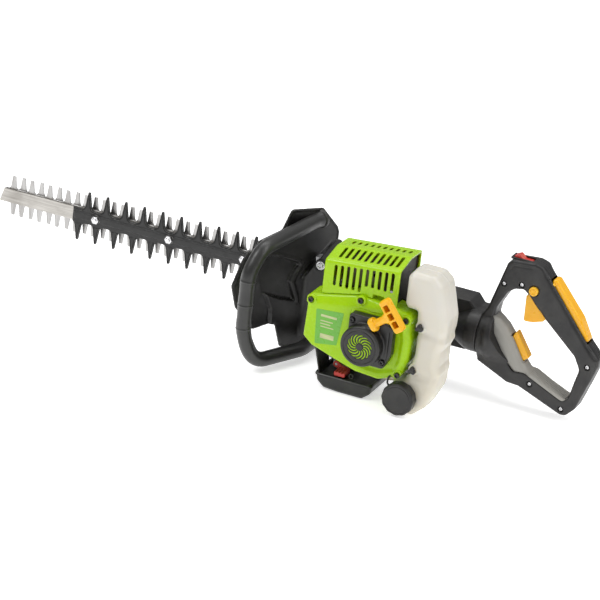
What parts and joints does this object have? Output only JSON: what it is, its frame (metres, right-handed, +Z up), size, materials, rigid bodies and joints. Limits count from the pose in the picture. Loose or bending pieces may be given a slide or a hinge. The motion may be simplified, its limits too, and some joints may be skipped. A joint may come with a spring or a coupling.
{
  "type": "hedge trimmer",
  "caption": "Petrol hedge trimmer with a double-sided reciprocating blade, hand shield, loop front handle and a swivelling rear grip, standing on its side.",
  "frame": {"origin": "centre of the bounding box's underside, on the surface that the machine stands on", "axes": "+X along the blade from its tip to the rear handle, +Y from the starter side to the blade side, +Z up"},
  "size_m": [1.119, 0.2422, 0.2636],
  "materials": {
    "bar_steel": "brushed",
    "guard_black": "satin black coating",
    "blade_steel": "ground steel",
    "bolt_steel": "zinc plated",
    "cast_alloy": "as cast",
    "cover_steel": "satin",
    "machined_steel": "machined",
    "muffler_steel": "heat-dulled",
    "shield_plate": "satin",
    "rubber_black": "matt",
    "grip_rubber": "soft satin",
    "moulded_black": "fine texture",
    "handle_black": "fine texture",
    "black_screw": "black oxide",
    "green_plastic": "glossy lime green",
    "orange_plastic": "semi-gloss amber",
    "red_plastic": "semi-gloss",
    "red_rubber": "soft",
    "foam": "open-cell foam",
    "rope": "braided",
    "tank_plastic": "translucent, waxy",
    "clear_hose": "clear"
  },
  "bodies": {
    "machine": {"guide_bar": "bar_steel", "tooth_guard": "guard_black", "blade_bolts": "bolt_steel", "gear_case": "cast_alloy", "gear_case_cover": "cover_steel", "gear_axle": "machined_steel", "shaft_bearings": "machined_steel", "clutch_shoes": "cast_alloy", "clutch_spring": "machined_steel", "crankcase_front": "cast_alloy", "crankcase_rear": "cast_alloy", "crankshaft": "machined_steel", "connecting_rod": "machined_steel", "piston": "cast_alloy", "cylinder": "cast_alloy", "spark_plug": "bolt_steel", "plug_boot": "rubber_black", "flywheel": "cast_alloy", "ignition_coil": "moulded_black", "muffler": "muffler_steel", "heat_shield": "shield_plate", "muffler_cover": "green_plastic", "inlet_spacer": "moulded_black", "carburettor": "cast_alloy", "filter_base": "moulded_black", "filter_foam": "foam", "filter_cover": "moulded_black", "fan_cover": "green_plastic", "shroud_plate": "moulded_black", "housing_screws": "black_screw", "starter_housing": "moulded_black", "vent_disc": "green_plastic", "recoil_spring": "machined_steel", "fuel_tank": "tank_plastic", "tank_knobs": "black_screw", "fuel_lines": "clear_hose", "front_handle": "grip_rubber", "hand_shield": "moulded_black", "shield_bolts": "bolt_steel", "rear_frame": "moulded_black"},
    "clutch_drum_body": {"clutch_drum": "machined_steel"},
    "drive_gear_body": {"drive_gear": "machined_steel"},
    "front_blade_body": {"blade_front": "blade_steel"},
    "back_blade_body": {"blade_back": "blade_steel"},
    "reel": {"starter_reel": "moulded_black"},
    "pull": {"starter_rope": "rope", "pull_handle": "orange_plastic"},
    "rear_handle": {"handle_shell_left": "handle_black", "handle_shell_right": "handle_black", "swivel_spigot": "cast_alloy", "handle_screws": "bolt_steel"},
    "trigger_body": {"trigger": "orange_plastic"},
    "palm_lever_body": {"palm_lever": "orange_plastic"},
    "hold_button_body": {"hold_button": "orange_plastic"},
    "lock_button_body": {"lock_button": "orange_plastic"},
    "stop_switch_body": {"stop_switch": "red_plastic"},
    "choke": {"choke_lever": "red_plastic"},
    "primer": {"primer_bulb": "red_rubber"},
    "gasket": {"cap_gasket": "rubber_black"},
    "cap": {"fuel_cap": "moulded_black"}
  },
  "joints": [
    {"name": "drum_spin", "type": "hinge", "parent": "machine", "child": "clutch_drum_body", "pos_m": [0.21532, 0.05688, 0.114], "axis": [0, 1, 0], "range_deg": [0, 720]},
    {"name": "gear_spin", "type": "hinge", "parent": "machine", "child": "drive_gear_body", "pos_m": [0.17032, 0.09188, 0.114], "axis": [0, 1, 0], "range_deg": [-180.1, 0.1]},
    {"name": "front_blade_slide", "type": "slide", "parent": "machine", "child": "front_blade_body", "axis": [1, 0, 0], "range_m": [-0.00001, 0.01751]},
    {"name": "back_blade_slide", "type": "slide", "parent": "machine", "child": "back_blade_body", "axis": [1, 0, 0], "range_m": [-0.01751, 0.00001]},
    {"name": "reel_spin", "type": "hinge", "parent": "machine", "child": "reel", "pos_m": [0.21532, -0.11212, 0.114], "axis": [0, 1, 0], "range_deg": [0, 90], "stiffness_Nm_per_rad": 0.02, "springref_deg": -28.65},
    {"name": "pull_slide", "type": "slide", "parent": "machine", "child": "pull", "axis": [0.7901, 0, 0.613], "range_m": [-0.00001, 0.035]},
    {"name": "handle_swivel", "type": "hinge", "parent": "machine", "child": "rear_handle", "pos_m": [0.35732, 0.06288, 0.114], "axis": [1, 0, 0], "range_deg": [0, 180]},
    {"name": "trigger_pull", "type": "hinge", "parent": "rear_handle", "child": "trigger_body", "pos_m": [0.44732, 0.06288, 0.206], "axis": [0, -1, 0], "range_deg": [0, 12], "stiffness_Nm_per_rad": 0.2, "springref_deg": -17.19},
    {"name": "palm_lever_press", "type": "hinge", "parent": "rear_handle", "child": "palm_lever_body", "pos_m": [0.46732, 0.06288, 0.23], "axis": [0, 1, 0], "range_deg": [0, 3], "stiffness_Nm_per_rad": 0.3, "springref_deg": -11.46},
    {"name": "hold_button_press", "type": "slide", "parent": "rear_handle", "child": "hold_button_body", "axis": [0, 1, 0], "range_m": [0, 0.003], "stiffness_N_per_m": 150, "springref_m": -0.002},
    {"name": "lock_button_press", "type": "slide", "parent": "rear_handle", "child": "lock_button_body", "axis": [-0.8522, 0, -0.5231], "range_m": [0, 0.003], "stiffness_N_per_m": 300, "springref_m": -0.002},
    {"name": "stop_switch_rock", "type": "hinge", "parent": "rear_handle", "child": "stop_switch_body", "pos_m": [0.40832, 0.06288, 0.253], "axis": [0, -1, 0], "range_deg": [0, 16]},
    {"name": "choke_turn", "type": "hinge", "parent": "machine", "child": "choke", "pos_m": [0.14932, -0.04112, 0.038], "axis": [0, -1, 0], "range_deg": [0, 35]},
    {"name": "primer_press", "type": "slide", "parent": "machine", "child": "primer", "axis": [1, 0, 0], "range_m": [0, 0.004], "stiffness_N_per_m": 200, "springref_m": -0.002},
    {"name": "cap_lift", "type": "slide", "parent": "machine", "child": "gasket", "axis": [0, -1, 0], "range_m": [-0.00001, 0.0061]},
    {"name": "cap_turn", "type": "hinge", "parent": "gasket", "child": "cap", "pos_m": [0.28132, -0.09312, 0.032], "axis": [0, -1, 0], "range_deg": [0, 540]}
  ],
  "couplings": [
    {"joint": "gear_spin", "follows": "drum_spin", "ratio": -0.25},
    {"joint": "front_blade_slide", "follows": "drum_spin", "m_per_rad": 0.0013926},
    {"joint": "back_blade_slide", "follows": "drum_spin", "m_per_rad": -0.0013926},
    {"joint": "pull_slide", "follows": "reel_spin", "m_per_rad": 0.0222},
    {"joint": "cap_lift", "follows": "cap_turn", "m_per_rad": 0.00063662}
  ]
}
